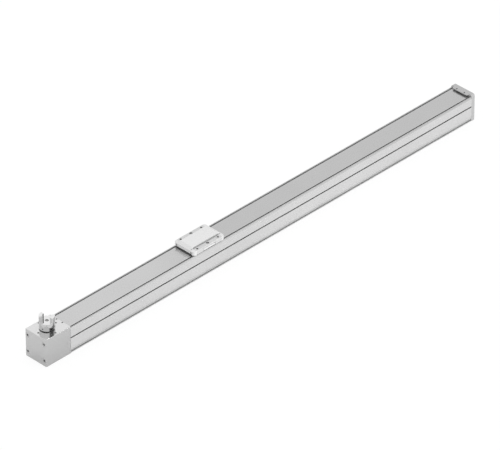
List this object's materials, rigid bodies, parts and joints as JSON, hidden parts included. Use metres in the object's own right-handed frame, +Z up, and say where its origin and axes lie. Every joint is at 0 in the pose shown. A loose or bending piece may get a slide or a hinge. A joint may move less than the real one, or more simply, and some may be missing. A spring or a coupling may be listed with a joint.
{
  "type": "belt_driven_linear_axis",
  "caption": "Toothed belt linear axis: a slide on a slotted aluminium profile, pulled by a belt inside it, with a vertical drive shaft and claw coupling hub at one end",
  "frame": {"origin": "centre of the bounding box in plan, at the underside of the profile, housing and end cap", "axes": "+X runs along the profile from the drive housing to the end cap, +Y across it, +Z up out of the slide's table"},
  "size_m": [1.266, 0.06, 0.0978],
  "materials": {
    "anodised_profile": "satin anodised, drawn along the length",
    "strip_steel": "rolled, fairly glossy",
    "housing_aluminium": "milled and anodised",
    "hub_aluminium": "turned, bright",
    "pulley_aluminium": "milled, plain",
    "slide_aluminium": "light satin anodised",
    "light_plastic": "fine grained",
    "black_plastic": "fine grained",
    "shaft_steel": "ground",
    "rail_steel": "ground",
    "bearing_steel": "polished",
    "screw_steel": "zinc plated",
    "dark_screw_steel": "blackened",
    "belt_rubber": "matt",
    "buffer_rubber": "matt"
  },
  "bodies": {
    "axis_frame": {"profile_extrusion": "anodised_profile", "cover_strip": "strip_steel", "drive_housing": "housing_aluminium", "end_cap": "housing_aluminium", "idler_housing": "housing_aluminium", "head_screws": "screw_steel", "head_strip_screws": "dark_screw_steel", "end_cap_screws": "screw_steel", "end_strip_screws": "dark_screw_steel", "tension_screws": "screw_steel", "toothed_belt": "belt_rubber", "drive_bearing_outer_rings": "bearing_steel", "bearing_retaining_ring": "dark_screw_steel", "bearing_cover": "housing_aluminium", "idler_pin": "shaft_steel", "idler_washers": "shaft_steel", "idler_bearing_inner_rings": "bearing_steel", "guide_rail": "rail_steel", "rail_screws": "dark_screw_steel", "head_end_buffers": "buffer_rubber", "far_end_buffers": "buffer_rubber"},
    "slide": {"runner_block": "rail_steel", "runner_end_caps": "black_plastic", "runner_seals": "buffer_rubber", "runner_screws": "dark_screw_steel", "slide_body": "slide_aluminium", "side_inserts": "light_plastic", "slide_cover_head_end": "light_plastic", "slide_cover_far_end": "light_plastic", "end_cover_screws": "screw_steel", "strip_wiper_head_end": "black_plastic", "strip_wiper_far_end": "black_plastic", "belt_jaw": "pulley_aluminium", "belt_clamp_plate": "pulley_aluminium", "belt_clamp_screws": "dark_screw_steel"},
    "drive_rotor": {"drive_pulley": "pulley_aluminium", "drive_shaft": "shaft_steel", "shaft_key": "shaft_steel", "drive_bearing_inner_rings": "bearing_steel", "shaft_retaining_ring": "dark_screw_steel", "coupling_hub": "hub_aluminium", "hub_clamp_screw": "dark_screw_steel"},
    "idler_rotor": {"idler_pulley": "pulley_aluminium", "idler_bearing_outer_rings": "bearing_steel"}
  },
  "joints": [
    {"name": "slide_travel", "type": "slide", "parent": "axis_frame", "child": "slide", "axis": [1, 0, 0], "range_m": [-0.35, 0.694], "deforming": ["toothed_belt"]},
    {"name": "drive_spin", "type": "hinge", "parent": "axis_frame", "child": "drive_rotor", "pos_m": [-0.601, 0, 0.042], "axis": [0, 0, 1], "range_deg": [-1620, 3210]},
    {"name": "idler_spin", "type": "hinge", "parent": "axis_frame", "child": "idler_rotor", "pos_m": [0.599, 0, 0.042], "axis": [0, 0, 1], "range_deg": [-1620, 3210]}
  ],
  "couplings": [
    {"joint": "drive_spin", "follows": "slide_travel", "rad_per_m": 80.554},
    {"joint": "idler_spin", "follows": "slide_travel", "rad_per_m": 80.554}
  ]
}
